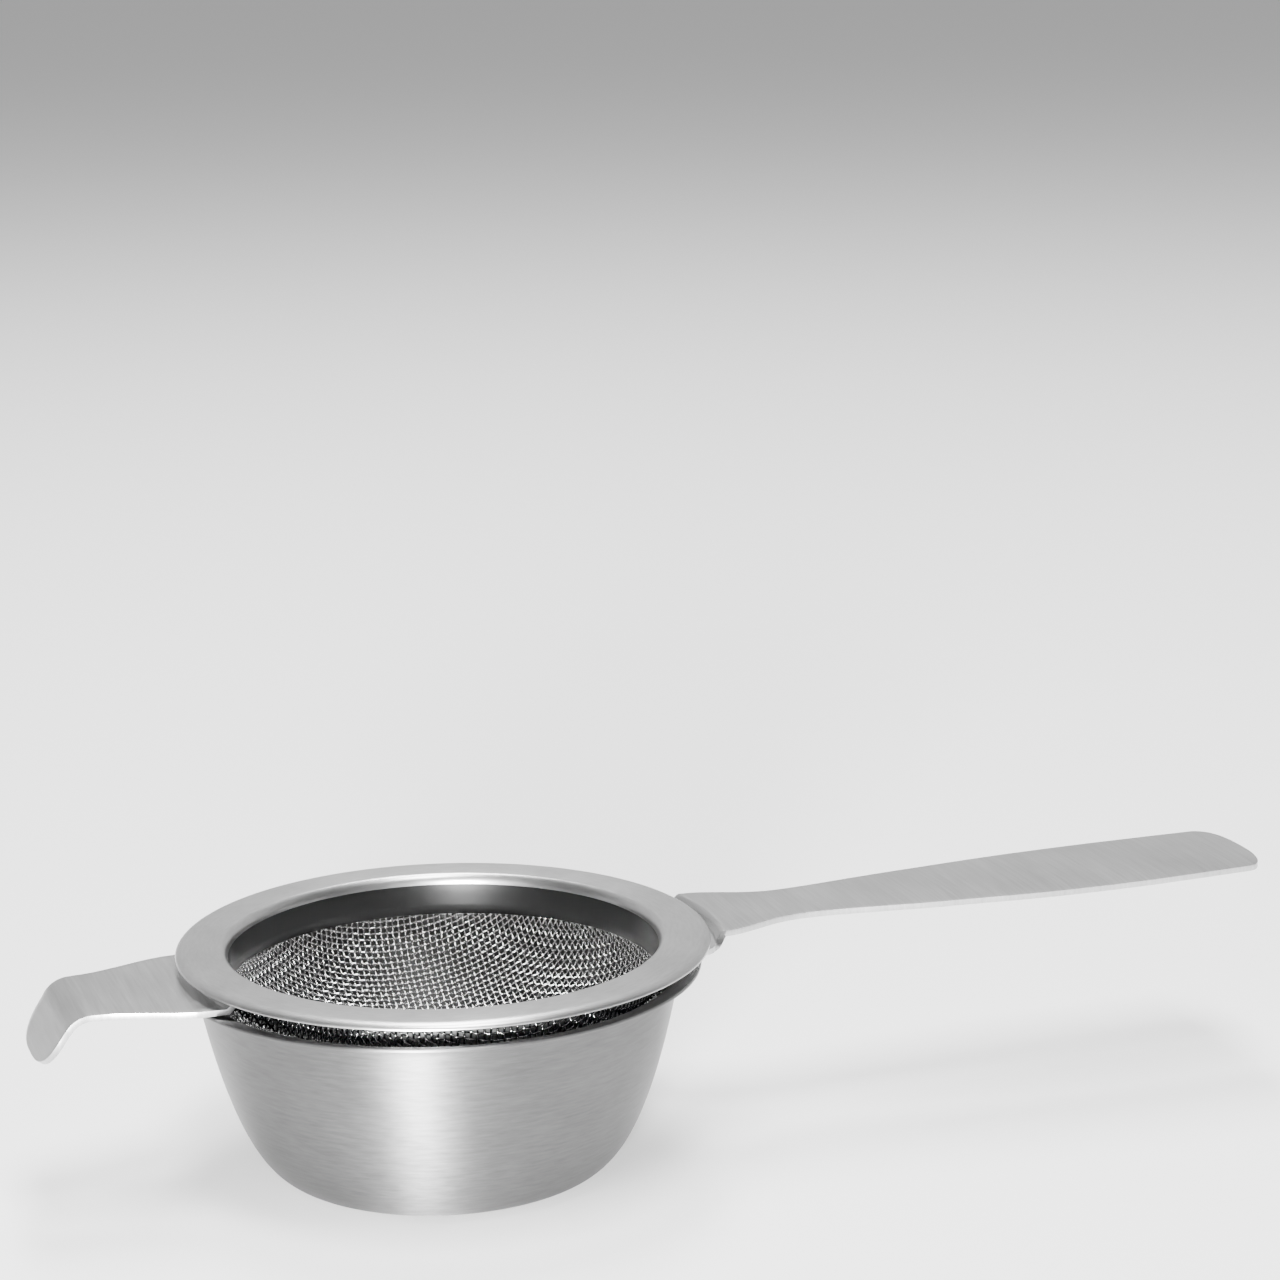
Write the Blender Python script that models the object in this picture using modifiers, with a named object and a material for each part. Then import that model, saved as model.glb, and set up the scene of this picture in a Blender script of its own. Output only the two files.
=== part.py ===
"""Tea strainer on its drip bowl: six pressed, woven and welded steel pieces.

Frame: origin at the middle of the bowl's base, on the table; +Z up; +X along the handle.
All dimensions are in millimetres and are turned into metres where the meshes are made.
"""
import math

import bmesh
import bpy

MM = 0.001
TURN_STEPS = 48

# ---- driving dimensions ----
FLANGE_RADIUS = 36.0          # outside of the strainer's rim flange
FLANGE_TOP = 31.2             # height of the flange's flat above the table
SEAT_OFFSET = 0.9             # the strainer sits this far towards its handle in the bowl
RUNNING_GAP = 0.3             # air kept between neighbouring pieces

# drip bowl
BOWL_SHEET = 0.5
BOWL_BASE_RADIUS = 20.9
BOWL_WALL_RADIUS = 32.7       # outside, just under the turned-out rim
BOWL_WALL_TOP = 26.8
BOWL_RIM_RADIUS = 35.6
BOWL_RIM_TOP = 27.9
BOWL_BELLY = (27.8, 1.0)      # control point: how straight the wall drops
BOWL_HEEL = (22.2, 0.0)       # control point: how round the wall meets the base

# rim flange
FLANGE_SHEET = 0.5
SHOULDER_WIDTH = 2.0          # the flat ends this far in, where the outer edge turns down
SHOULDER_DROP = 0.65
LIP_SKIRT = 0.25              # straight part below the shoulder
EYE_RADIUS = 30.1             # inner end of the flat
COLLAR_RADIUS = 29.0          # inside of the collar
COLLAR_ROUND = 1.5            # height of the rounding between flat and collar
COLLAR_DEPTH = 5.8            # from the flange's flat to the collar's lower edge

# woven gauze basket, as a thin shell
GAUZE_THICKNESS = 0.4
GAUZE_DEPTH = 16.0            # of the dish below the collar
CLAMP_STRIP = 0.4
CLAMP_HEIGHT = 1.2

# handle and tab
PLATE_THICKNESS = 0.8
PLATE_SEAT = BOWL_RIM_TOP + RUNNING_GAP + PLATE_THICKNESS      # top of what rests on the bowl
WELD_LAND = FLANGE_TOP - FLANGE_SHEET - RUNNING_GAP            # top of what meets the flange
LAND_INNER = 31.3             # root plates start outside the clamp ring
LAND_OUTER = 33.4
HANDLE_REACH = 119.8          # from the flange's axis to the tip
BLADE_NECK_TOP = 30.4
BLADE_TIP_TOP = 31.1
TAB_BEND_REACH = 51.5         # where tongue and hook would meet in a sharp corner
HOOK_LENGTH = 8.35            # from that corner
HOOK_ANGLE = math.radians(56)
BEND_RADIUS = 4.0

STEEL = (0.60, 0.60, 0.59)


def steel(name, roughness):
    """A Principled stainless-steel material."""
    material = bpy.data.materials.new(name)
    material.use_nodes = True
    shader = material.node_tree.nodes["Principled BSDF"]
    shader.inputs["Base Color"].default_value = (*STEEL, 1.0)
    shader.inputs["Metallic"].default_value = 1.0
    shader.inputs["Roughness"].default_value = roughness
    return material


def curve_points(start, lean, pull, end, count):
    """Points on a cubic curve from start to end, both ends included."""
    points = []
    for index in range(count + 1):
        t = index / count
        u = 1 - t
        points.append(tuple(
            u**3 * a + 3 * u * u * t * b + 3 * u * t * t * c + t**3 * d
            for a, b, c, d in zip(start, lean, pull, end)))
    return points


def arc_points(centre, radius_x, radius_z, start_deg, end_deg, count):
    """Points on an ellipse's arc in the profile plane, both ends included."""
    points = []
    for index in range(count + 1):
        angle = math.radians(start_deg + (end_deg - start_deg) * index / count)
        points.append((centre[0] + radius_x * math.cos(angle), centre[1] + radius_z * math.sin(angle)))
    return points


def offset_left(points, distance):
    """The same profile moved sideways, to the left of its direction of travel."""
    moved = []
    last = len(points) - 1
    for index, (x, z) in enumerate(points):
        before = points[max(index - 1, 0)]
        after = points[min(index + 1, last)]
        dx, dz = after[0] - before[0], after[1] - before[1]
        length = math.hypot(dx, dz)
        moved.append((x - dz / length * distance, z + dx / length * distance))
    return moved


def add_object(name, mesh, material, collection):
    """Link a mesh as a named object with its material and smooth shading."""
    mesh.materials.append(material)
    piece = bpy.data.objects.new(name, mesh)
    collection.objects.link(piece)
    return piece


def turned(name, profile, material, collection, closed):
    """Turn a profile, listed over the top and down its outer side, about the Z axis."""
    mesh = bpy.data.meshes.new(name)
    edges = [(i, i + 1) for i in range(len(profile) - 1)]
    if closed:
        edges.append((len(profile) - 1, 0))
    mesh.from_pydata([(x * MM, 0.0, z * MM) for x, z in profile], edges, [])
    piece = add_object(name, mesh, material, collection)
    screw = piece.modifiers.new("turn", "SCREW")
    screw.steps = screw.render_steps = TURN_STEPS
    screw.use_merge_vertices = True
    screw.merge_threshold = 0.00001
    screw.use_smooth_shade = True
    return piece


def plate(name, stations, across, material, collection):
    """A sheet strip along +X from (reach, top height, half width, roundness) stations.

    Roundness 1 bends a station into an arc about the Z axis, and 0 leaves it straight.
    """
    mesh = bpy.data.meshes.new(name)
    sheet = bmesh.new()
    bmesh.ops.create_grid(sheet, x_segments=len(stations) - 1, y_segments=across, size=0.5)
    for vertex in sheet.verts:
        index = round((vertex.co.x + 0.5) * (len(stations) - 1))
        reach, top, half_width, roundness = stations[index]
        y = 2 * vertex.co.y * half_width
        sagitta = reach - math.sqrt(reach * reach - y * y)
        vertex.co = ((reach - roundness * sagitta) * MM, y * MM, top * MM)
    sheet.to_mesh(mesh)
    sheet.free()
    piece = add_object(name, mesh, material, collection)
    thicken = piece.modifiers.new("sheet", "SOLIDIFY")
    thicken.thickness = PLATE_THICKNESS * MM
    thicken.offset = -1.0
    thicken.use_even_offset = True
    return piece


def rounded_end(start, length, half_width, fullness, shares):
    """(reach, half width) pairs of a strip's end: a superellipse from start over length."""
    return [(start + length * share, half_width * (1 - share**fullness) ** (1 / fullness)) for share in shares]


def bowl_profile():
    """Inner floor out to the rim, over it, and down the outside to the base."""
    wall_top = (BOWL_WALL_RADIUS, BOWL_WALL_TOP)
    outside = [(BOWL_RIM_RADIUS, BOWL_RIM_TOP - BOWL_SHEET)]
    outside += curve_points(wall_top, BOWL_BELLY, BOWL_HEEL, (BOWL_BASE_RADIUS, 0.0), 9)
    inside = offset_left(outside[::-1], BOWL_SHEET)
    inside[0] = (BOWL_BASE_RADIUS, BOWL_SHEET)
    inside[-1] = (BOWL_RIM_RADIUS - BOWL_SHEET, BOWL_RIM_TOP)
    crest = [(BOWL_RIM_RADIUS, BOWL_RIM_TOP - 0.3 * BOWL_SHEET)]
    return [(0.0, BOWL_SHEET)] + inside + crest + outside + [(0.0, 0.0)]


def flange_profile():
    """Up the inside of the collar, across the flat, over the lip and back underneath."""
    collar_foot = (COLLAR_RADIUS, FLANGE_TOP - COLLAR_DEPTH)
    eye_centre = (EYE_RADIUS, FLANGE_TOP - COLLAR_ROUND)
    shoulder_centre = (FLANGE_RADIUS - SHOULDER_WIDTH, FLANGE_TOP - SHOULDER_DROP)
    lip_foot = FLANGE_TOP - SHOULDER_DROP - LIP_SKIRT
    top = [collar_foot]
    top += arc_points(eye_centre, EYE_RADIUS - COLLAR_RADIUS, COLLAR_ROUND, 180, 90, 3)
    top += arc_points(shoulder_centre, SHOULDER_WIDTH, SHOULDER_DROP, 90, 0, 4)
    top.append((FLANGE_RADIUS, lip_foot))
    under = offset_left(top[::-1], FLANGE_SHEET)
    under[0] = (FLANGE_RADIUS - FLANGE_SHEET, lip_foot)
    under[-1] = (COLLAR_RADIUS + FLANGE_SHEET, collar_foot[1])
    return top + under


def gauze_profile():
    """Inner face of the dish from its middle up the skirt, then down the outer face."""
    skirt = COLLAR_RADIUS + FLANGE_SHEET + RUNNING_GAP
    foot = FLANGE_TOP - COLLAR_DEPTH
    inside = arc_points((0.0, foot), skirt, GAUZE_DEPTH, -90, 0, 9)
    inside.append((skirt, WELD_LAND - RUNNING_GAP))
    outside = [(x + GAUZE_THICKNESS, z) for x, z in inside[-2:]]
    outside = outside[::-1]
    outside += arc_points((0.0, foot), skirt + GAUZE_THICKNESS, GAUZE_DEPTH + GAUZE_THICKNESS, 0, -90, 9)[1:]
    inside[0] = (0.0, inside[0][1])
    outside[-1] = (0.0, outside[-1][1])
    return inside + outside


def clamp_profile():
    """A plain hoop of strip round the gauze's upper edge."""
    inner = COLLAR_RADIUS + FLANGE_SHEET + GAUZE_THICKNESS + 2 * RUNNING_GAP
    outer = inner + CLAMP_STRIP
    top = WELD_LAND - RUNNING_GAP
    return [(inner, top - CLAMP_HEIGHT), (inner, top), (outer, top), (outer, top - CLAMP_HEIGHT)]


def handle_stations():
    """Eared root under the flange, step up past its edge, narrow neck, broad blade, blunt tip."""
    ear, neck = 12.0, 5.8
    flange_edge = FLANGE_RADIUS
    stations = [
        (LAND_INNER, WELD_LAND, ear, 1.0),
        (LAND_OUTER, WELD_LAND, ear, 1.0),
        (LAND_OUTER + 1.0, PLATE_SEAT, ear, 1.0),
        (flange_edge + 0.3, PLATE_SEAT, ear, 1.0),
        (flange_edge + 0.7, PLATE_SEAT + 0.3, 11.4, 1.0),
        (flange_edge + 1.0, PLATE_SEAT + 0.6, 9.8, 1.0),
        (flange_edge + 1.8, BLADE_NECK_TOP, 9.4, 0.8),
        (40.0, BLADE_NECK_TOP, 8.9, 0.5),
        (42.5, BLADE_NECK_TOP, 7.7, 0.2),
        (45.5, BLADE_NECK_TOP, 6.4, 0.0),
        (49.3, BLADE_NECK_TOP, neck, 0.0),
    ]
    blade_start = stations[-1][0]
    outline = [(54.0, 6.1), (60.5, 6.8), (67.0, 7.8), (73.0, 8.3), (79.0, 9.0), (86.0, 9.6),
               (93.0, 9.9), (99.0, 10.0), (106.0, 9.8), (112.0, 9.6), (116.4, 9.5)]
    tip_start, tip_half = outline[-1]
    outline += rounded_end(tip_start, HANDLE_REACH - tip_start, tip_half, 2.5, (0.3, 0.55, 0.75, 0.9, 0.98, 0.9995))
    for reach, half_width in outline:
        rise = (reach - blade_start) / (HANDLE_REACH - blade_start)
        stations.append((reach, BLADE_NECK_TOP + rise * (BLADE_TIP_TOP - BLADE_NECK_TOP), half_width, 0.0))
    return stations


def tab_stations():
    """Root under the flange, tongue resting on the bowl, and a hook turned down past the bend."""
    shoulder, bend_half_width = 12.6, 8.6
    bend_start = TAB_BEND_REACH - BEND_RADIUS * math.tan(HOOK_ANGLE / 2)
    stations = [
        (LAND_INNER, WELD_LAND, shoulder, 1.0),
        (LAND_OUTER, WELD_LAND, shoulder, 1.0),
        (LAND_OUTER + 1.0, PLATE_SEAT, shoulder, 0.8),
        (36.5, PLATE_SEAT, 12.4, 0.2),
        (38.5, PLATE_SEAT, 11.8, 0.0),
        (40.8, PLATE_SEAT, 10.95, 0.0),
        (43.5, PLATE_SEAT, 9.9, 0.0),
        (46.4, PLATE_SEAT, 9.0, 0.0),
        (bend_start, PLATE_SEAT, bend_half_width, 0.0),
    ]
    bend_steps = 5
    for step in range(1, bend_steps + 1):
        turn = HOOK_ANGLE * step / bend_steps
        reach = bend_start + BEND_RADIUS * math.sin(turn)
        top = PLATE_SEAT - BEND_RADIUS * (1 - math.cos(turn))
        stations.append((reach, top, bend_half_width, 0.0))
    round_start, end_half_width = 2.5, 8.45
    hook_runs = rounded_end(round_start, HOOK_LENGTH - round_start, end_half_width, 3.0,
                            (0.0, 0.3, 0.55, 0.75, 0.9, 0.98, 0.9995))
    for run, half_width in hook_runs:
        stations.append((TAB_BEND_REACH + run * math.cos(HOOK_ANGLE),
                         PLATE_SEAT - run * math.sin(HOOK_ANGLE), half_width, 0.0))
    return stations


def main():
    for old in list(bpy.data.objects):
        bpy.data.objects.remove(old, do_unlink=True)
    collection = bpy.data.collections.new("tea_strainer")
    bpy.context.scene.collection.children.link(collection)

    brushed = steel("brushed steel", 0.35)
    polished = steel("polished steel", 0.22)
    wire = steel("gauze wire", 0.25)

    turned("drip_bowl", bowl_profile(), brushed, collection, closed=False)

    seat = bpy.data.objects.new("strainer_seat", None)
    seat.location = (SEAT_OFFSET * MM, 0.0, 0.0)
    collection.objects.link(seat)
    strainer = [
        turned("rim_flange", flange_profile(), polished, collection, closed=True),
        turned("gauze_basket", gauze_profile(), wire, collection, closed=False),
        turned("clamp_ring", clamp_profile(), polished, collection, closed=True),
        plate("handle", handle_stations(), 6, brushed, collection),
        plate("rest_tab", tab_stations(), 6, brushed, collection),
    ]
    for piece in strainer:
        piece.parent = seat
    strainer[-1].rotation_euler.z = math.pi


main()
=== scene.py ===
# Tea strainer seated on its drip bowl: pressed steel sheet and woven wire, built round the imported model.
import math
import bmesh
import bpy
from mathutils import Matrix, Vector


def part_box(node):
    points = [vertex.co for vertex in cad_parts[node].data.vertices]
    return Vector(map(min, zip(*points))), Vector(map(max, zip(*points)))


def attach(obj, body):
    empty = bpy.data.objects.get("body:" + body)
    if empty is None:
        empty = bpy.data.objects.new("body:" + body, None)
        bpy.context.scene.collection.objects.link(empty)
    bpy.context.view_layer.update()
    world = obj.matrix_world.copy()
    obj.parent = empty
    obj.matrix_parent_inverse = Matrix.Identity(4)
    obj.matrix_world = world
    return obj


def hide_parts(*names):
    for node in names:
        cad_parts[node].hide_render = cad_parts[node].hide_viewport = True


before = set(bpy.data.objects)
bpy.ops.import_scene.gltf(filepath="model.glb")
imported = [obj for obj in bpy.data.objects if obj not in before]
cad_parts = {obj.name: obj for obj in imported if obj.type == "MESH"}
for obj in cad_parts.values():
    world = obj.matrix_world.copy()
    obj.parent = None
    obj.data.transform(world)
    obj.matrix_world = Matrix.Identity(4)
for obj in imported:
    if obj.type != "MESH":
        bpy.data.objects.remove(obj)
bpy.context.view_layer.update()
print("frame loaded:", ", ".join(sorted(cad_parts)))

mm = 0.001                                   # the sizes below are in millimetres
closeBy = 0.01 * mm

# where the frame says things are
ringLow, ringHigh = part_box("rim_flange")
bowlLow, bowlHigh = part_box("drip_bowl")
bladeLow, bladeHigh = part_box("handle")
ringX = (ringLow.x + ringHigh.x) / 2 / mm    # the strainer's axis stands here, at Y 0
ringRadius = (ringHigh.x - ringLow.x) / 2 / mm
ringTop = ringHigh.z / mm


# small tools
def toEdit(kind):                            # into edit mode with nothing picked
    bpy.ops.object.mode_set(mode='EDIT')
    bpy.ops.mesh.select_mode(type=kind)
    bpy.ops.mesh.select_all(action='DESELECT')


def pick(kind, test):                        # picks what passes the test, by place or normal
    bpy.ops.mesh.select_mode(type=kind)
    bpy.ops.mesh.select_all(action='DESELECT')
    mesh = bmesh.from_edit_mesh(bpy.context.object.data)
    group = {'VERT': mesh.verts, 'EDGE': mesh.edges, 'FACE': mesh.faces}[kind]
    for part in group:
        part.select_set(bool(test(part)))
    mesh.select_flush_mode()
    bmesh.update_edit_mesh(bpy.context.object.data)


def arc(middle, radiusX, radiusZ, startTurn, endTurn, steps):      # points on an ellipse, turns in degrees
    turns = [math.radians(startTurn + (endTurn - startTurn) * i / steps) for i in range(steps + 1)]
    return [(middle[0] + radiusX * math.cos(t), middle[1] + radiusZ * math.sin(t)) for t in turns]


def bow(start, lean, pull, end, steps):      # points on a cubic curve
    points = []
    for i in range(steps + 1):
        t = i / steps
        w = ((1 - t) ** 3, 3 * t * (1 - t) ** 2, 3 * t * t * (1 - t), t ** 3)
        points.append(tuple(sum(k * p[axis] for k, p in zip(w, (start, lean, pull, end))) for axis in (0, 1)))
    return points


def raiseRings(profile, middleX):            # the picked loop climbs a profile of (radius, height)
    for (radius, height), (nextRadius, nextHeight) in zip(profile, profile[1:]):
        grow = nextRadius / radius
        bpy.ops.mesh.extrude_region_move()
        bpy.ops.transform.resize(value=(grow, grow, 1), center_override=(middleX * mm, 0, height * mm))
        bpy.ops.transform.translate(value=(0, 0, (nextHeight - height) * mm))


def startRing(name, profile, middleX, sides):        # an open circle, left in edit mode with its loop picked
    bpy.ops.object.select_all(action='DESELECT')
    bpy.ops.mesh.primitive_circle_add(vertices=sides, radius=profile[0][0] * mm, fill_type='NOTHING',
                                      location=(middleX * mm, 0, profile[0][1] * mm))
    piece = bpy.context.object
    piece.name = name
    bpy.ops.object.mode_set(mode='EDIT')
    bpy.ops.mesh.select_mode(type='EDGE')
    bpy.ops.mesh.select_all(action='SELECT')
    raiseRings(profile, middleX)
    return piece


def faceOut(wrong):                          # one side all over; turned round if any face is the wrong way
    bpy.ops.mesh.select_all(action='SELECT')
    bpy.ops.mesh.normals_make_consistent(inside=False)
    bpy.ops.object.mode_set(mode='OBJECT')
    if any(wrong(face.normal, face.center) for face in bpy.context.object.data.polygons):
        toEdit('FACE')
        bpy.ops.mesh.select_all(action='SELECT')
        bpy.ops.mesh.flip_normals()
        bpy.ops.object.mode_set(mode='OBJECT')


def applyAll(piece):                         # modifiers become mesh
    for modifier in list(piece.modifiers):
        bpy.ops.object.modifier_apply(modifier=modifier.name)


def settle(piece, body, nodes, material):      # place goes into the mesh, then the piece joins its body
    bpy.ops.object.transform_apply(location=True, rotation=True, scale=True)
    piece.data.materials.clear()
    piece.data.materials.append(material)
    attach(piece, body)
    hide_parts(*nodes)
    print("made", piece.name, len(piece.data.polygons), "faces")


# finishes, some with shade painted into the base colour
# the mask for painted shade: between two heights, and if asked only where the sheet faces the axis
def paintedShadeMask(nodes, links, place, split, low, high, inwardOnly):
    tests = [('GREATER_THAN', split.outputs["Z"], low * mm), ('LESS_THAN', split.outputs["Z"], high * mm)]
    if inwardOnly:                           # only where the sheet faces the axis, or up
        surface = nodes.new("ShaderNodeNewGeometry")
        beside = nodes.new("ShaderNodeVectorMath")
        beside.operation = 'MULTIPLY_ADD'
        beside.inputs[1].default_value = (1, 1, 0)
        beside.inputs[2].default_value = (0, 0, -0.003)      # lets a level floor count as inside
        facing = nodes.new("ShaderNodeVectorMath")
        facing.operation = 'DOT_PRODUCT'
        links.new(place.outputs["Object"], beside.inputs[0])
        links.new(surface.outputs["Normal"], facing.inputs[0])
        links.new(beside.outputs[0], facing.inputs[1])
        tests.append(('LESS_THAN', facing.outputs["Value"], 0))
    share = None
    for operation, value, limit in tests:
        test = nodes.new("ShaderNodeMath")
        test.operation = operation
        test.inputs[1].default_value = limit
        links.new(value, test.inputs[0])
        if share is None:
            share = test.outputs[0]
        else:
            both = nodes.new("ShaderNodeMath")
            both.operation = 'MULTIPLY'
            links.new(share, both.inputs[0])
            links.new(test.outputs[0], both.inputs[1])
            share = both.outputs[0]
    return share


def steelFinish(name, look):                 # satin steel; the grain runs round the axis or along one direction
    material = bpy.data.materials.new(name)
    material.use_nodes = True
    nodes, links = material.node_tree.nodes, material.node_tree.links
    shader = nodes["Principled BSDF"]
    shader.inputs["Metallic"].default_value = 1.0
    shader.inputs["Anisotropic"].default_value = look["anisotropic"]
    shader.inputs["Anisotropic Rotation"].default_value = 0.25       # spread across the grain
    place = nodes.new("ShaderNodeTexCoord")
    split = nodes.new("ShaderNodeSeparateXYZ")
    links.new(place.outputs["Object"], split.inputs[0])
    if look["grain"] == "round":             # unroll the surface: angle, radius, height
        turn = nodes.new("ShaderNodeMath")
        turn.operation = 'ARCTAN2'
        out = nodes.new("ShaderNodeVectorMath")
        out.operation = 'LENGTH'
        flat = nodes.new("ShaderNodeVectorMath")
        flat.operation = 'MULTIPLY'
        flat.inputs[1].default_value = (1, 1, 0)
        unrolled = nodes.new("ShaderNodeCombineXYZ")
        links.new(split.outputs["Y"], turn.inputs[0])
        links.new(split.outputs["X"], turn.inputs[1])
        links.new(place.outputs["Object"], flat.inputs[0])
        links.new(flat.outputs[0], out.inputs[0])
        links.new(turn.outputs[0], unrolled.inputs["X"])
        links.new(out.outputs["Value"], unrolled.inputs["Y"])
        links.new(split.outputs["Z"], unrolled.inputs["Z"])
        source = unrolled.outputs[0]
        tangent = nodes.new("ShaderNodeTangent")
        tangent.direction_type = 'RADIAL'
        tangent.axis = 'Z'
        links.new(tangent.outputs[0], shader.inputs["Tangent"])
    else:
        source = place.outputs["Object"]
    stretch = nodes.new("ShaderNodeMapping")
    stretch.inputs["Scale"].default_value = look["stretch"]
    grain = nodes.new("ShaderNodeTexNoise")
    grain.inputs["Scale"].default_value = 1.0
    grain.inputs["Detail"].default_value = 3.0
    grain.inputs["Roughness"].default_value = 0.6
    cloud = nodes.new("ShaderNodeTexNoise")
    cloud.inputs["Scale"].default_value = look["cloudSize"]
    cloud.inputs["Detail"].default_value = 2.0
    links.new(source, stretch.inputs["Vector"])
    links.new(stretch.outputs[0], grain.inputs["Vector"])
    links.new(place.outputs["Object"], cloud.inputs["Vector"])
    mixed = nodes.new("ShaderNodeMix")
    mixed.data_type = 'FLOAT'
    mixed.inputs["Factor"].default_value = look["cloudShare"]
    links.new(grain.outputs["Fac"], mixed.inputs["A"])
    links.new(cloud.outputs["Fac"], mixed.inputs["B"])
    rough = nodes.new("ShaderNodeMapRange")
    rough.inputs["To Min"].default_value = look["roughness"][0]
    rough.inputs["To Max"].default_value = look["roughness"][1]
    links.new(mixed.outputs["Result"], rough.inputs["Value"])
    links.new(rough.outputs["Result"], shader.inputs["Roughness"])
    shade = nodes.new("ShaderNodeMix")
    shade.data_type = 'RGBA'
    shade.inputs["A"].default_value = (*look["dark"], 1)
    shade.inputs["B"].default_value = (*look["light"], 1)
    links.new(mixed.outputs["Result"], shade.inputs["Factor"])
    links.new(shade.outputs["Result"], shader.inputs["Base Color"])
    # painted shade: where the mask says, the base colour gives way to a dark colour that stands in for shade
    if "paintedShade" in look:
        paintedShadeMix = nodes.new("ShaderNodeMix")
        paintedShadeMix.data_type = 'RGBA'
        paintedShadeMix.inputs["B"].default_value = (*look["paintedShade"], 1)
        links.new(paintedShadeMask(nodes, links, place, split, *look["paintedShadeWhere"]), paintedShadeMix.inputs["Factor"])
        links.new(shade.outputs["Result"], paintedShadeMix.inputs["A"])
        links.new(paintedShadeMix.outputs["Result"], shader.inputs["Base Color"])
    bump = nodes.new("ShaderNodeBump")
    bump.inputs["Strength"].default_value = look["bump"]
    bump.inputs["Distance"].default_value = look["bumpDepth"] * mm
    links.new(grain.outputs["Fac"], bump.inputs["Height"])
    links.new(bump.outputs["Normal"], shader.inputs["Normal"])
    return material


# stretch is grain lines per metre, or per radian round the axis; the painted shade's place is given as low, high,
# inward only
bowlLook = {
    "grain": "round", "anisotropic": 0.85, "stretch": (9, 2500, 2500),
    # the bowl's base colour is set darker than real steel: painted shade standing in for the darker reflections its
    # sides show
    "roughness": (0.40, 0.52), "dark": (0.07, 0.07, 0.07), "light": (0.24, 0.24, 0.24),
    "cloudSize": 90, "cloudShare": 0.35, "bump": 0.08, "bumpDepth": 0.02,
    # painted shade: inside the bowl, below the rim, the base colour is darkened
    "paintedShade": (0.12, 0.12, 0.12), "paintedShadeWhere": (-1.0, 26.4, True),
}
flangeLook = {
    "grain": "round", "anisotropic": 0.3, "stretch": (14, 2500, 2500),
    "roughness": (0.26, 0.36), "dark": (0.32, 0.32, 0.32), "light": (0.66, 0.66, 0.66),
    "cloudSize": 120, "cloudShare": 0.4, "bump": 0.03, "bumpDepth": 0.01,
    # painted shade: the collar's inward wall is darkened, standing in for the dark gauze it reflects
    "paintedShade": (0.045, 0.045, 0.045), "paintedShadeWhere": (20.0, 29.8, True),
}
plateLook = {
    "grain": "straight", "anisotropic": 0.0, "stretch": (2600, 90, 90),     # fine lines across the blade
    "roughness": (0.24, 0.36), "dark": (0.28, 0.28, 0.28), "light": (0.68, 0.68, 0.68),
    "cloudSize": 60, "cloudShare": 0.4, "bump": 0.08, "bumpDepth": 0.02,
}
wireLook = {
    "grain": "straight", "anisotropic": 0.0, "stretch": (900, 900, 900),
    "roughness": (0.11, 0.18), "dark": (0.88, 0.88, 0.88), "light": (0.98, 0.98, 0.98),
    "cloudSize": 200, "cloudShare": 0.5, "bump": 0.03, "bumpDepth": 0.01,
    # painted shadow: the skirt's wires above the collar's foot, under the flange lip, are darkened
    "paintedShade": (0.16, 0.16, 0.16), "paintedShadeWhere": (25.6, 31.0, False),
}
bowlSteel = steelFinish("bowl steel", bowlLook)
flangeSteel = steelFinish("flange steel", flangeLook)
plateSteel = steelFinish("plate steel", plateLook)
wireSteel = steelFinish("wire steel", wireLook)
print("finishes made")


# drip bowl
bowl = {
    "sheet": 0.5,
    "baseRadius": 20.9,
    "wallTop": (32.7, 26.8),                 # where wall and rim would meet
    "belly": (27.8, 1.0), "heel": (22.2, 0.0),       # how straight the wall drops, how round it meets the base
    "rimFillet": 1.3,
    "dimple": (17.5, 0.12), "dimpleRamp": 0.5,       # the base is raised a touch inside this radius
    "edgeRound": 0.16,
    "sides": 192,
}


def makeBowl():
    rimRadius = (bowlHigh.x - bowlLow.x) / 2 / mm
    rimUnder = bowlHigh.z / mm - bowl["sheet"]
    cornerX, cornerZ = bowl["wallTop"]
    wall = bow((bowl["baseRadius"], 0), bowl["heel"], bowl["belly"], bowl["wallTop"], 36)
    wall = [p for p in wall if cornerZ - p[1] > bowl["rimFillet"]]
    slope = (rimUnder - cornerZ) / (rimRadius - cornerX)
    filletEnd = (cornerX + bowl["rimFillet"], cornerZ + slope * bowl["rimFillet"])
    fillet = bow(wall[-1], bowl["wallTop"], bowl["wallTop"], filletEnd, 8)[1:]
    profile = wall + fillet + [(rimRadius, rimUnder)]
    piece = startRing("drip_bowl_shell", profile, 0, bowl["sides"])
    foot = bowl["baseRadius"] * mm
    pick('EDGE', lambda e: all(v.co.z < closeBy and abs(math.hypot(v.co.x, v.co.y) - foot) < closeBy for v in e.verts))
    bpy.ops.mesh.edge_face_add()
    bpy.ops.mesh.inset(thickness=(bowl["baseRadius"] - bowl["dimple"][0]) * mm)
    bpy.ops.mesh.inset(thickness=bowl["dimpleRamp"] * mm)
    bpy.ops.transform.translate(value=(0, 0, bowl["dimple"][1] * mm))
    for share in (0.35, 0.35):               # rings inside the dimple, so no face is a long sliver
        bpy.ops.mesh.inset(thickness=bowl["dimple"][0] * share * mm)
    faceOut(lambda face, middle: middle.z < bowl["dimple"][1] * mm * 1.5 and face.z > 0)
    sheet = piece.modifiers.new("sheet", 'SOLIDIFY')
    sheet.thickness = bowl["sheet"] * mm
    sheet.offset = -1
    sheet.use_even_offset = True
    edge = piece.modifiers.new("edge", 'BEVEL')
    edge.width = bowl["edgeRound"] * mm
    edge.segments = 3
    edge.limit_method = 'ANGLE'
    edge.angle_limit = math.radians(50)
    applyAll(piece)
    bpy.ops.object.shade_smooth_by_angle(angle=math.radians(40))
    settle(piece, "drip_bowl", ["drip_bowl"], bowlSteel)


makeBowl()


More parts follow.
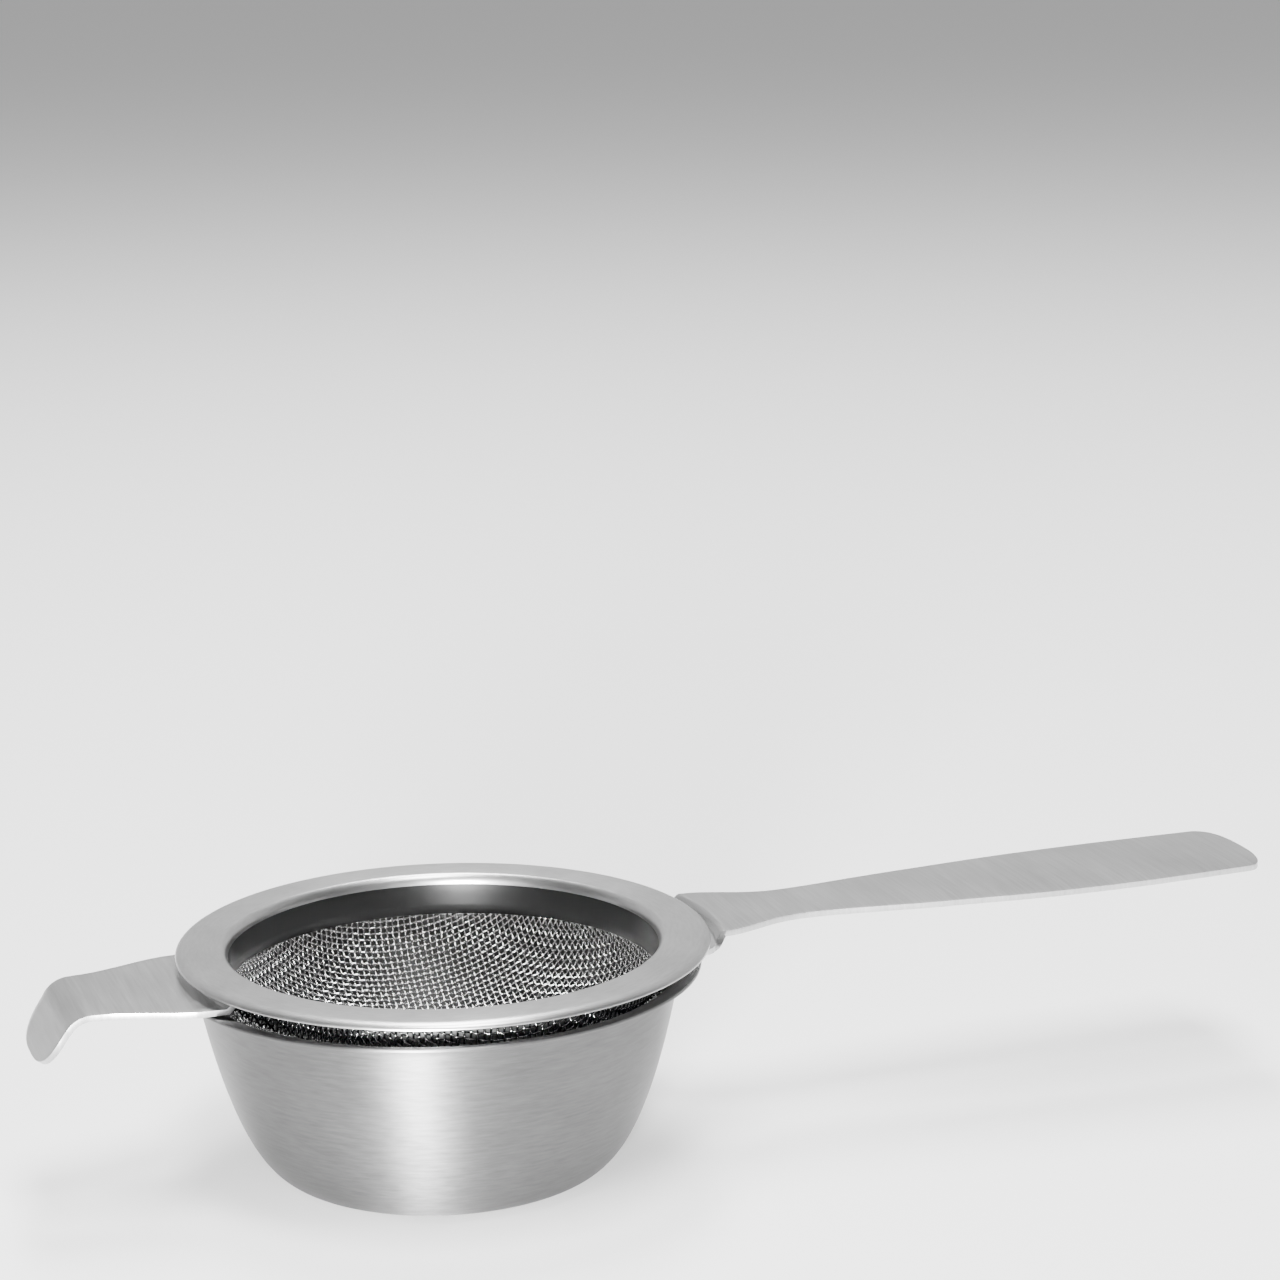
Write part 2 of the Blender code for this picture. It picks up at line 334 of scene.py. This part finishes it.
# rim flange
flange = {
    "sheet": 0.5,
    "shoulder": 1.5, "shoulderDrop": 0.8, "skirt": 0.1,    # the outer edge turns down
    "eyeRadius": 30.1, "collarRadius": 29.0, "collarRound": 1.5, "collarDepth": 5.8,
    "lipRound": 0.12,
    "sides": 192,
}


def makeFlange():
    sheet, top = flange["sheet"], ringTop
    footZ = top - flange["collarDepth"]
    eye = (flange["eyeRadius"], top - flange["collarRound"])
    eyeWide = flange["eyeRadius"] - flange["collarRadius"]
    shoulder = (ringRadius - flange["shoulder"], top - flange["shoulderDrop"])
    lipZ = shoulder[1] - flange["skirt"]
    small = flange["lipRound"]
    profile = [(flange["collarRadius"] + small, footZ), (flange["collarRadius"], footZ + small)]
    profile += [(flange["collarRadius"], footZ + step) for step in (1.5, 3.0)]
    profile += arc(eye, eyeWide, flange["collarRound"], 180, 90, 8)
    profile += arc(shoulder, flange["shoulder"], flange["shoulderDrop"], 90, 0, 12)
    profile += [(ringRadius, lipZ + small), (ringRadius - small, lipZ), (ringRadius - sheet + small, lipZ)]
    profile += [(ringRadius - sheet, lipZ + small)]
    profile += arc(shoulder, flange["shoulder"] - sheet, flange["shoulderDrop"] - sheet, 0, 90, 6)
    profile += arc(eye, eyeWide - sheet, flange["collarRound"] - sheet, 90, 180, 6)
    profile += [(flange["collarRadius"] + sheet, footZ + small), (flange["collarRadius"] + sheet - small, footZ)]
    piece = startRing("rim_flange_ring", profile, ringX, flange["sides"])
    pick('EDGE', lambda e: e.is_boundary)
    bpy.ops.mesh.bridge_edge_loops()
    bpy.ops.mesh.select_all(action='SELECT')
    bpy.ops.mesh.normals_make_consistent(inside=False)
    bpy.ops.object.mode_set(mode='OBJECT')
    bpy.ops.object.shade_smooth_by_angle(angle=math.radians(50))
    settle(piece, "strainer", ["rim_flange"], flangeSteel)


makeFlange()


# clamp ring, which grips the gauze outside the collar
clamp = {"strip": 0.4, "edgeRound": 0.1, "sides": 128}


def makeClamp():
    low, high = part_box("clamp_ring")
    outer, bottom, top = (high.x - low.x) / 2 / mm, low.z / mm, high.z / mm
    profile = [(outer, bottom), (outer, (bottom + top) / 2), (outer, top)]
    piece = startRing("clamp_ring_hoop", profile, ringX, clamp["sides"])
    faceOut(lambda face, middle: face.x * (middle.x - ringX * mm) + face.y * middle.y < 0)
    strip = piece.modifiers.new("strip", 'SOLIDIFY')
    strip.thickness = clamp["strip"] * mm
    strip.offset = -1
    edge = piece.modifiers.new("edge", 'BEVEL')
    edge.width = clamp["edgeRound"] * mm
    edge.segments = 2
    edge.limit_method = 'ANGLE'
    edge.angle_limit = math.radians(50)
    applyAll(piece)
    bpy.ops.object.shade_smooth_by_angle(angle=math.radians(40))
    settle(piece, "strainer", ["clamp_ring"], flangeSteel)


makeClamp()


# gauze: two families of wires pressed into a dish
gauze = {
    "pitch": 0.87, "wire": 0.29,
    "dishRadius": 29.8, "dishDepth": 16.0,   # the dish hangs from the collar's foot, under a straight skirt
    "skirt": 3.6,
    "stepsPerPitch": 3,
    "settleRounds": 14,
}
wireCount = int(1.7 * gauze["dishRadius"] / gauze["pitch"])      # enough each way to pass the skirt's edge


def ontoDish(p):                             # nearest place on the dish or its skirt; height is from the collar's foot
    if p.z >= 0:
        out = math.hypot(p.x, p.y) / gauze["dishRadius"]
        return Vector((p.x / out, p.y / out, p.z))
    size = Vector((gauze["dishRadius"], gauze["dishRadius"], gauze["dishDepth"]))
    flat = Vector((p.x / size.x, p.y / size.y, p.z / size.z)).normalized()
    return Vector((flat.x * size.x, flat.y * size.y, flat.z * size.z))


def intoDish(p):                             # unit direction towards the inside of the dish
    wide, deep = gauze["dishRadius"] ** 2, gauze["dishDepth"] ** 2
    return Vector((-p.x / wide, -p.y / wide, -min(p.z, 0) / deep)).normalized()


def pressNet():                              # crossings of one quarter: wires keep their length as they are pressed
    pitch, half = gauze["pitch"], gauze["pitch"] / 2
    net = {(0, 0): ontoDish(Vector((half, half, -gauze["dishDepth"])))}
    for i in range(1, wireCount):                # the two wires next to the axes
        last = net[(i - 1, 0)]
        p = last + (last - net[(i - 2, 0)] if i > 1 else Vector((pitch, 0, 0)))
        for _ in range(gauze["settleRounds"]):
            p = ontoDish(last + (p - last).normalized() * pitch)
            p.y = half
        net[(i, 0)] = p
        net[(0, i)] = Vector((p.y, p.x, p.z))
    for i in range(1, wireCount):
        for j in range(1, wireCount):
            a, b, c = (net.get(key) for key in ((i - 1, j), (i, j - 1), (i - 1, j - 1)))
            if a is None or b is None or c is None or max(a.z, b.z) > gauze["skirt"]:
                continue
            p = a + b - c
            for _ in range(gauze["settleRounds"]):
                toA, toB = a - p, b - p
                p = p + toA * (1 - pitch / toA.length) * 0.5 + toB * (1 - pitch / toB.length) * 0.5
                p = ontoDish(p)
            net[(i, j)] = p
    return net


def crossing(net, i, j):                     # any quarter, mirrored from the first
    p = net.get((max(i, -1 - i), max(j, -1 - j)))
    if p is None:
        return None
    return Vector((p.x if i >= 0 else -p.x, p.y if j >= 0 else -p.y, p.z))


def layWires(name, net, along, wires):       # one curve of wires, each passing over and under the others
    footZ = ringTop - flange["collarDepth"]
    curve = bpy.data.curves.new(name, 'CURVE')
    curve.dimensions = '3D'
    curve.bevel_depth = gauze["wire"] / 2 * mm
    curve.bevel_resolution = 1
    curve.use_fill_caps = True
    for wire in wires:
        nodes = []
        for step in range(-wireCount, wireCount):
            p = crossing(net, *((wire, step) if along == "Y" else (step, wire)))
            if p is not None and p.z <= gauze["skirt"]:
                side = 1 if (wire + step) % 2 == 0 else -1
                nodes.append((p, side if along == "Y" else -side))
        if len(nodes) < 4:
            continue
        points = []
        for (p, side), (q, _) in zip(nodes, nodes[1:]):
            for step in range(gauze["stepsPerPitch"]):
                share = step / gauze["stepsPerPitch"]
                place = p.lerp(q, share)
                lift = side * math.cos(math.pi * share) * gauze["wire"] / 2
                points.append(place + intoDish(place) * lift)
        points.append(nodes[-1][0])
        spline = curve.splines.new('POLY')
        spline.points.add(len(points) - 1)
        for point, place in zip(spline.points, points):
            point.co = ((place.x + ringX) * mm, place.y * mm, (place.z + footZ) * mm, 1)
    piece = bpy.data.objects.new(name, curve)
    bpy.context.collection.objects.link(piece)
    bpy.ops.object.select_all(action='DESELECT')
    piece.select_set(True)
    bpy.context.view_layer.objects.active = piece
    bpy.ops.object.convert(target='MESH')
    piece = bpy.context.object
    toEdit('VERT')
    bpy.ops.mesh.select_all(action='SELECT')
    bpy.ops.mesh.remove_doubles(threshold=0.0005 * mm)
    bpy.ops.mesh.normals_make_consistent(inside=False)
    bpy.ops.object.mode_set(mode='OBJECT')
    bpy.ops.object.shade_smooth()
    settle(piece, "strainer", ["gauze_basket"], wireSteel)


def makeGauze():
    net = pressNet()
    for name, along, wires in (("gauze_warp_tab_side", "Y", range(-wireCount, 0)),
                               ("gauze_warp_handle_side", "Y", range(0, wireCount)),
                               ("gauze_weft_near_side", "X", range(-wireCount, 0)),
                               ("gauze_weft_far_side", "X", range(0, wireCount))):
        layWires(name, net, along, wires)


makeGauze()


# handle and rest tab: sheet strips drawn out from their roots
plate = {
    "sheet": 0.8,
    "across": 16,                            # strips across the sheet
    "edgeRound": 0.18,
    "landInner": 31.3, "landOuter": 33.4,    # the land under the flange, measured from the strainer's axis
    "stepDown": 1.0,                         # run of the step from the land to the seat
    "gap": 0.3,
}
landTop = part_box("clamp_ring")[1].z / mm + plate["gap"]          # top of the land, just under the flange
seatTop = bowlHigh.z / mm + plate["gap"] + plate["sheet"]        # top of what rests on the bowl's rim


def drawStrip(name, stations):               # a strip along +X from (reach, top, half width, roundness)
    reach, top, half, _ = stations[0]
    bpy.ops.object.select_all(action='DESELECT')
    bpy.ops.mesh.primitive_grid_add(x_subdivisions=1, y_subdivisions=plate["across"], size=1, location=(0, 0, 0))
    piece = bpy.context.object
    piece.name = name
    bpy.ops.object.mode_set(mode='EDIT')
    pick('VERT', lambda v: v.co.x < 0)
    bpy.ops.mesh.delete(type='VERT')
    bpy.ops.mesh.select_mode(type='EDGE')
    bpy.ops.mesh.select_all(action='SELECT')
    bpy.ops.transform.resize(value=(1, 2 * half * mm, 1), center_override=(0, 0, 0))
    bpy.ops.transform.translate(value=(reach * mm - 0.5, 0, top * mm))
    for (reach, top, half, _), (nextReach, nextTop, nextHalf, _) in zip(stations, stations[1:]):
        bpy.ops.mesh.extrude_region_move()
        bpy.ops.transform.resize(value=(1, nextHalf / half, 1), center_override=(0, 0, 0))
        bpy.ops.transform.translate(value=((nextReach - reach) * mm, 0, (nextTop - top) * mm))
    faceOut(lambda face, middle: face.z < 0)
    return piece


def roundRow(vertex, reach, roundness):      # bends a row of the root about the strainer's axis
    y = vertex.co.y / mm
    vertex.co.x -= roundness * (reach - math.sqrt(reach * reach - y * y)) * mm


def finishStrip(piece, body, nodes):         # gives the sheet its thickness and soft edges, and settles it in its body
    sheet = piece.modifiers.new("sheet", 'SOLIDIFY')
    sheet.thickness = plate["sheet"] * mm
    sheet.offset = -1
    sheet.use_even_offset = True
    edge = piece.modifiers.new("edge", 'BEVEL')
    edge.width = plate["edgeRound"] * mm
    edge.segments = 3
    edge.limit_method = 'ANGLE'
    edge.angle_limit = math.radians(50)
    applyAll(piece)
    bpy.ops.object.shade_smooth_by_angle(angle=math.radians(40))
    settle(piece, body, nodes, plateSteel)


def rootStations(half, roundness):           # land, step and seat; roundness is what is left of it at the seat
    return [(plate["landInner"], landTop, half, 1), (plate["landOuter"], landTop, half, 1),
            (plate["landOuter"] + plate["stepDown"] / 2, (landTop + seatTop) / 2, half, (1 + roundness) / 2),
            (plate["landOuter"] + plate["stepDown"], seatTop, half, roundness)]


def roundedEnd(start, length, half, fullness):       # a strip's end, square at low fullness and fuller above
    shares = [math.sin(math.radians(turn)) for turn in (10, 20, 30, 39, 48, 56, 64, 71, 77, 82, 86, 89)]
    return [(start + length * share, half * (1 - share ** fullness) ** (1 / fullness)) for share in shares]


def smoothRun(points, steps):                # more stations between given ones, on a flowing line
    run = []
    for i in range(len(points) - 1):
        before, start, end, after = (points[max(0, min(len(points) - 1, k))] for k in (i - 1, i, i + 1, i + 2))
        for step in range(steps):
            t = step / steps
            row = []
            for a, b, c, d in zip(before, start, end, after):
                row.append(0.5 * (2 * b + (c - a) * t + (2 * a - 5 * b + 4 * c - d) * t * t
                                  + (3 * b - a - 3 * c + d) * t ** 3))
            run.append(tuple(row))
    return run + [points[-1]]


handle = {
    "ear": 12.0, "earCorner": 1.4,           # half width of the root where it shows past the flange
    "stepStart": 36.6, "stepEnd": 37.9, "stepRows": 6,       # the sheet climbs from its seat to the neck
    "rootRoundRun": 7.0, "widest": 10.0,
    "neckTop": 30.4, "tipTop": 31.1,
    "flare": ((37.9, 9.3), (40.0, 8.9), (42.5, 7.8), (45.5, 6.5), (49.3, 5.8), (54.5, 6.1), (60.5, 6.9),
              (67.0, 7.8), (73.0, 8.4), (79.5, 9.1), (86.5, 9.65), (93.0, 9.9), (99.0, 10.0),
              (106.0, 9.85), (112.0, 9.65), (116.4, 9.5)),   # reach and half width of neck and blade
    "tipFullness": 2.5,
    "crown": 0.3, "crownStart": 46.0, "crownEnd": 66.0,      # the blade's long edges drop this much
}


def makeHandle():
    reach = bladeHigh.x / mm - ringX
    ear, corner = handle["ear"], handle["earCorner"]
    stations = rootStations(ear, 1)
    for turn in (0, 25, 50, 75, 90):         # the ear's outer corner
        turned = math.radians(turn)
        stations.append((handle["stepStart"] - corner + corner * math.sin(turned), seatTop,
                         ear - corner * (1 - math.cos(turned)), 1))
    climb = handle["neckTop"] - seatTop
    inner = handle["flare"][0][1]
    for i in range(1, handle["stepRows"] + 1):
        share = i / handle["stepRows"]
        ease = share * share * (3 - 2 * share)
        stations.append((handle["stepStart"] + (handle["stepEnd"] - handle["stepStart"]) * share, seatTop + climb * ease,
                         inner + (ear - corner - inner) * (1 - share) ** 3, 1))
    blade = smoothRun(handle["flare"], 4)
    length = reach - handle["flare"][0][0]
    lastAt, lastHalf = blade[-1]
    for at, half in blade[1:] + roundedEnd(lastAt, reach - lastAt, lastHalf, handle["tipFullness"]):
        share = (at - handle["flare"][0][0]) / length
        rounding = max(0.0, 1 - (at - handle["stepEnd"]) / handle["rootRoundRun"])
        stations.append((at, handle["neckTop"] + (handle["tipTop"] - handle["neckTop"]) * share, half, rounding))
    piece = drawStrip("handle_blade", stations)
    row = plate["across"] + 1
    order = sorted(range(len(piece.data.vertices)), key=lambda k: piece.data.vertices[k].co.x)
    for index, (at, top, half, roundness) in enumerate(stations):
        crownRun = handle["crownEnd"] - handle["crownStart"]
        share = max(0.0, min(1.0, (at - handle["crownStart"]) / crownRun))
        for k in order[index * row:(index + 1) * row]:
            vertex = piece.data.vertices[k]
            out = abs(vertex.co.y / mm) / handle["widest"]
            vertex.co.z -= handle["crown"] * share * out ** 3 * mm
            roundRow(vertex, at, roundness)
    for vertex in piece.data.vertices:
        vertex.co.x += ringX * mm
    finishStrip(piece, "strainer", ["handle"])


makeHandle()


tab = {
    "shoulder": 12.6, "rootRound": 0.8,
    "tongueRound": 0.2, "tongueRoundRun": 2.0,       # how round the tongue's rows start, and when they are straight
    "tongue": ((36.5, 12.4), (38.5, 11.8), (40.8, 10.95), (43.5, 9.9), (46.4, 9.0), (48.6, 8.7)),
    "bendReach": 51.5, "bendHalf": 8.6, "bendRadius": 4.0, "bendSteps": 8, "hookTurn": 56.0,
    "hookLength": 8.35, "roundStart": 2.5, "roundHalf": 8.45, "hookFullness": 3.0,
}


def makeTab():
    stations = rootStations(tab["shoulder"], tab["rootRound"])
    turned = math.radians(tab["hookTurn"])
    bendStart = tab["bendReach"] - tab["bendRadius"] * math.tan(turned / 2)
    for at, half in smoothRun(tab["tongue"], 3):
        run = (at - tab["tongue"][0][0]) / tab["tongueRoundRun"]
        stations.append((at, seatTop, half, max(0.0, tab["tongueRound"] * (1 - run))))
    for i in range(tab["bendSteps"] + 1):
        turn = turned * i / tab["bendSteps"]
        stations.append((bendStart + tab["bendRadius"] * math.sin(turn),
                         seatTop - tab["bendRadius"] * (1 - math.cos(turn)), tab["bendHalf"], 0))
    runs = [(tab["roundStart"], tab["roundHalf"])]
    runs += roundedEnd(tab["roundStart"], tab["hookLength"] - tab["roundStart"],
                       tab["roundHalf"], tab["hookFullness"])
    for run, half in runs:
        stations.append((tab["bendReach"] + run * math.cos(turned), seatTop - run * math.sin(turned), half, 0))
    piece = drawStrip("rest_tab_hook", stations)
    row = plate["across"] + 1
    order = sorted(range(len(piece.data.vertices)), key=lambda k: piece.data.vertices[k].co.x)
    for index, (at, top, half, roundness) in enumerate(stations):
        for k in order[index * row:(index + 1) * row]:
            roundRow(piece.data.vertices[k], at, roundness)
    for vertex in piece.data.vertices:       # half a turn, to the side away from the handle
        vertex.co.x, vertex.co.y = ringX * mm - vertex.co.x, -vertex.co.y
    finishStrip(piece, "strainer", ["rest_tab"])


makeTab()


# floor, lights and camera
studio = {
    "floorSize": 14.0, "floorShade": (0.95, 0.95, 0.95),
    "roomDim": 0.16, "roomBright": 0.95,     # the room is brighter behind the strainer than in front
    "roomTurn": 18.5,                        # degrees from +Y towards +X
    "aim": (0, 0, 0.02),
    "lights": (                              # name, place, size, power; each one faces the aim
        ("overhead softbox", (0.0, -0.3, 1.05), (0.3, 0.5), 20),
        ("back strip", (0.105, 0.38, 0.92), (0.2, 0.5), 12),
        ("front strip", (-0.26, -0.54, 0.055), (0.11, 0.10), 40),
    ),
}


def setStudio():
    bpy.ops.object.select_all(action='DESELECT')
    bpy.ops.mesh.primitive_plane_add(size=studio["floorSize"], location=(0, 0, 0))
    floor = bpy.context.object
    floor.name = "floor"
    paint = bpy.data.materials.new("pale floor")
    paint.use_nodes = True
    shader = paint.node_tree.nodes["Principled BSDF"]
    shader.inputs["Base Color"].default_value = (*studio["floorShade"], 1)
    shader.inputs["Roughness"].default_value = 0.9
    floor.data.materials.append(paint)
    world = bpy.data.worlds.new("pale room")
    world.use_nodes = True
    nodes, links = world.node_tree.nodes, world.node_tree.links
    where = nodes.new("ShaderNodeTexCoord")
    behind = nodes.new("ShaderNodeVectorMath")
    behind.operation = 'DOT_PRODUCT'
    turned = math.radians(studio["roomTurn"])
    behind.inputs[1].default_value = (math.sin(turned), math.cos(turned), 0)
    fade = nodes.new("ShaderNodeMapRange")
    fade.interpolation_type = 'SMOOTHSTEP'
    fade.inputs["From Min"].default_value = -0.2
    fade.inputs["From Max"].default_value = 0.8
    fade.inputs["To Min"].default_value = studio["roomDim"]
    fade.inputs["To Max"].default_value = studio["roomBright"]
    links.new(where.outputs["Generated"], behind.inputs[0])
    links.new(behind.outputs["Value"], fade.inputs["Value"])
    nodes["Background"].inputs["Color"].default_value = (1, 1, 1, 1)
    links.new(fade.outputs["Result"], nodes["Background"].inputs["Strength"])
    bpy.context.scene.world = world
    aim = Vector(studio["aim"])
    for name, place, size, power in studio["lights"]:
        bpy.ops.object.light_add(type='AREA', location=place)
        light = bpy.context.object
        light.name = name
        light.data.shape = 'RECTANGLE'
        light.data.size, light.data.size_y = size
        light.data.energy = power
        light.rotation_euler = (aim - Vector(place)).to_track_quat('-Z', 'Y').to_euler()
    print("studio set")


setStudio()

view = {
    "place": (-0.1164, -0.4361, 0.1750),
    "turn": -18.5, "down": 12.9, "roll": -0.98,      # degrees
    "lens": 98.4,                            # on a 36 mm sensor
}
bpy.ops.object.camera_add(location=view["place"])
camera = bpy.context.object
camera.name = "camera"
turns = [Matrix.Rotation(math.radians(angle), 4, axis)
         for angle, axis in ((view["turn"], 'Z'), (90 - view["down"], 'X'), (view["roll"], 'Z'))]
camera.rotation_euler = (turns[0] @ turns[1] @ turns[2]).to_euler()
camera.data.sensor_width = 36
camera.data.lens = view["lens"]
camera.data.clip_start = 0.01
bpy.context.scene.camera = camera
